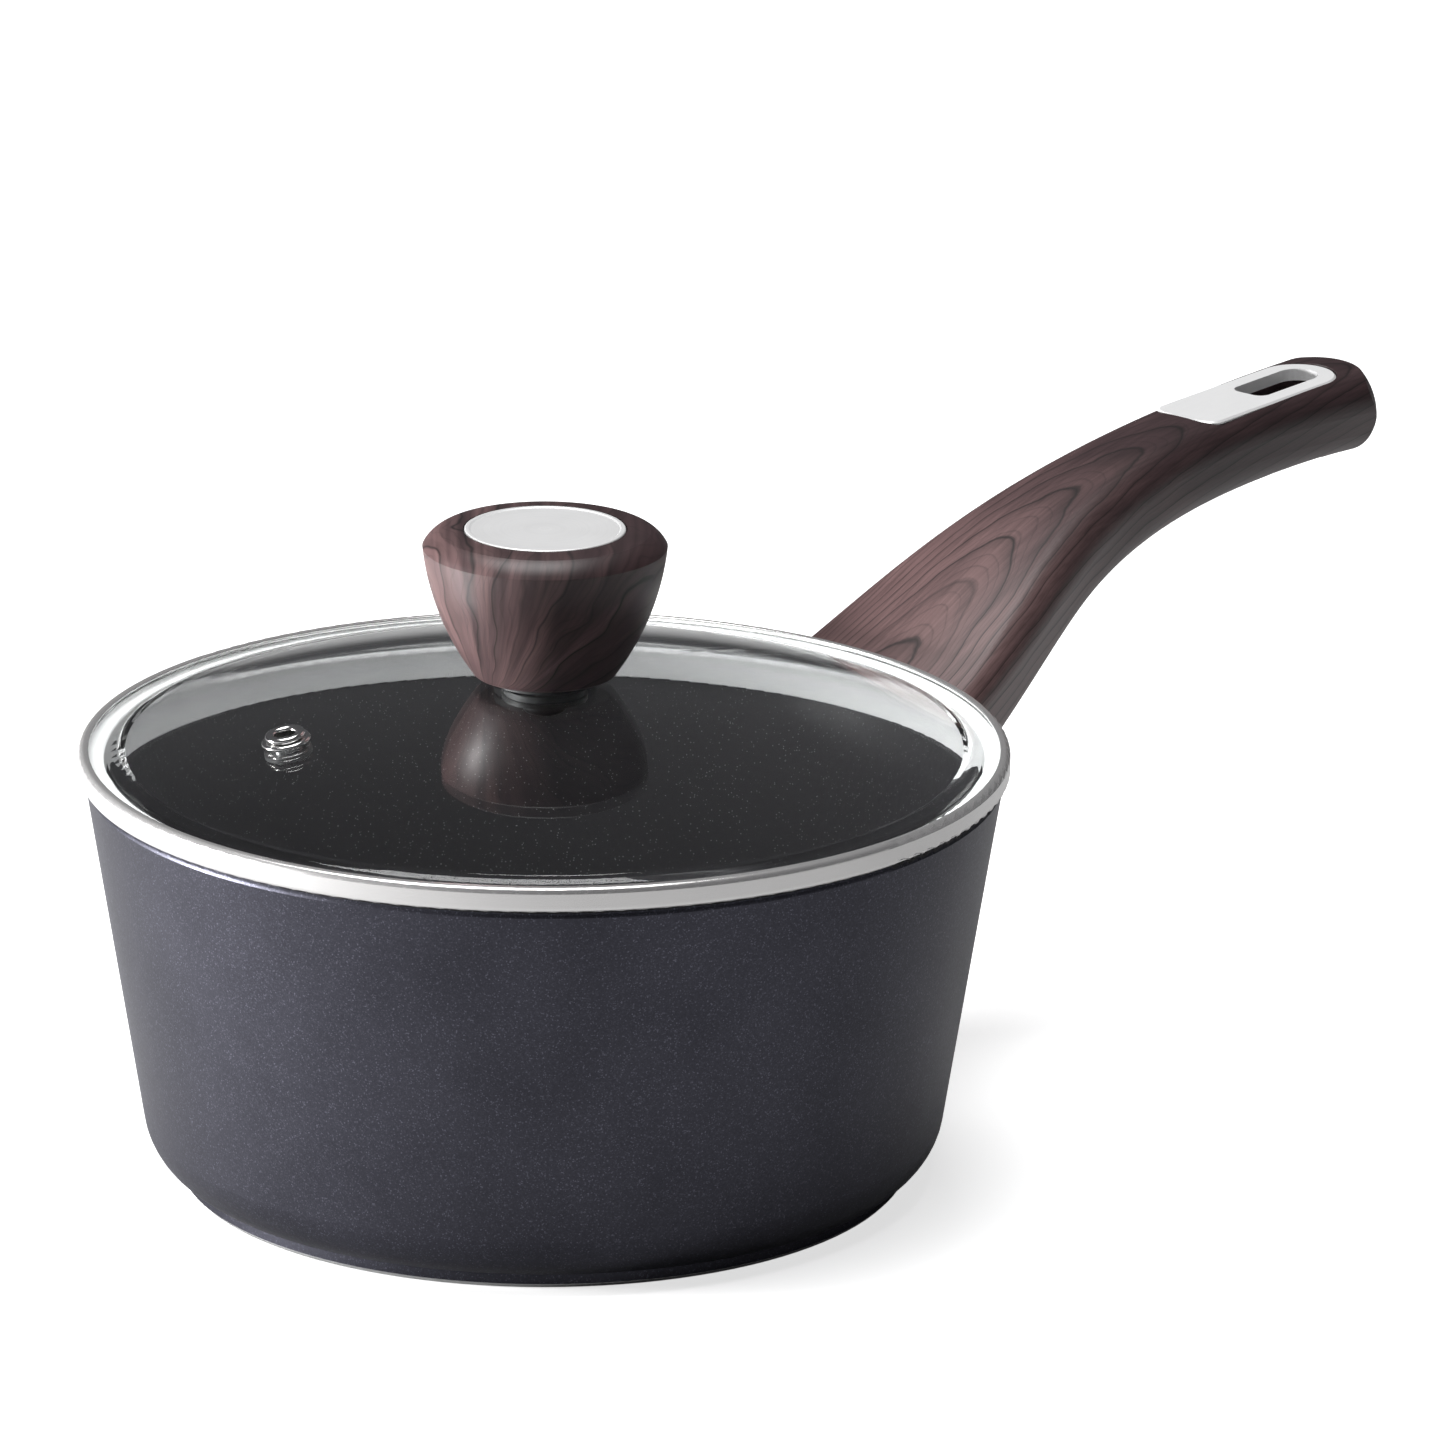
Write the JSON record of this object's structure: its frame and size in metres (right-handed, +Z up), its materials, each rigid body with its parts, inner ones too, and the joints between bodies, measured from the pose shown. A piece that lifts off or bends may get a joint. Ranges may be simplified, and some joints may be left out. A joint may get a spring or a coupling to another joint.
{
  "type": "saucepan with glass lid",
  "caption": "Flared round saucepan with one long curved wood-look handle, a domed glass lid with a steel rim band, a steam vent and a turned wood-look knob.",
  "frame": {"origin": "centre of the base, on the plane the pan stands on", "axes": "+Z up along the pan's axis; +X towards the handle's tip; the handle is symmetrical about the XZ plane"},
  "size_m": [0.3898, 0.207, 0.1486],
  "materials": {
    "dark_coat": "dark blue-grey coat with fine light speckle, satin",
    "base_steel": "stamped stainless, dull",
    "cast_aluminium": "as cast",
    "black_plastic": "matt black heat-resistant plastic",
    "wood_look": "phenolic with a dark walnut wood-grain finish, satin",
    "satin_metal": "satin",
    "plated_steel": "zinc plated",
    "clear_glass": "clear tempered glass",
    "polished_steel": "polished stainless",
    "clear_silicone": "translucent silicone",
    "black_silicone": "black silicone",
    "brass_bush": "turned brass"
  },
  "bodies": {
    "pan": {"pan_shell": "dark_coat", "induction_disc": "base_steel", "handle_bracket": "cast_aluminium", "heat_guard": "black_plastic", "handle_grip": "wood_look", "handle_insert": "satin_metal", "handle_screw": "plated_steel", "handle_washer": "plated_steel", "handle_spring_washer": "plated_steel"},
    "lid": {"glass_dome": "clear_glass", "rim_band": "polished_steel", "rim_seal": "clear_silicone", "vent_eyelet": "polished_steel", "vent_washer": "polished_steel", "vent_gasket": "clear_silicone", "knob_body": "wood_look", "knob_cap": "satin_metal", "knob_bush": "brass_bush", "knob_seat": "black_silicone", "knob_gasket": "clear_silicone", "knob_washer": "plated_steel", "knob_screw": "plated_steel"}
  },
  "joints": [
    {"name": "lid_lift", "type": "slide", "parent": "pan", "child": "lid", "axis": [0, 0, 1], "range_m": [0, 0.15]}
  ]
}
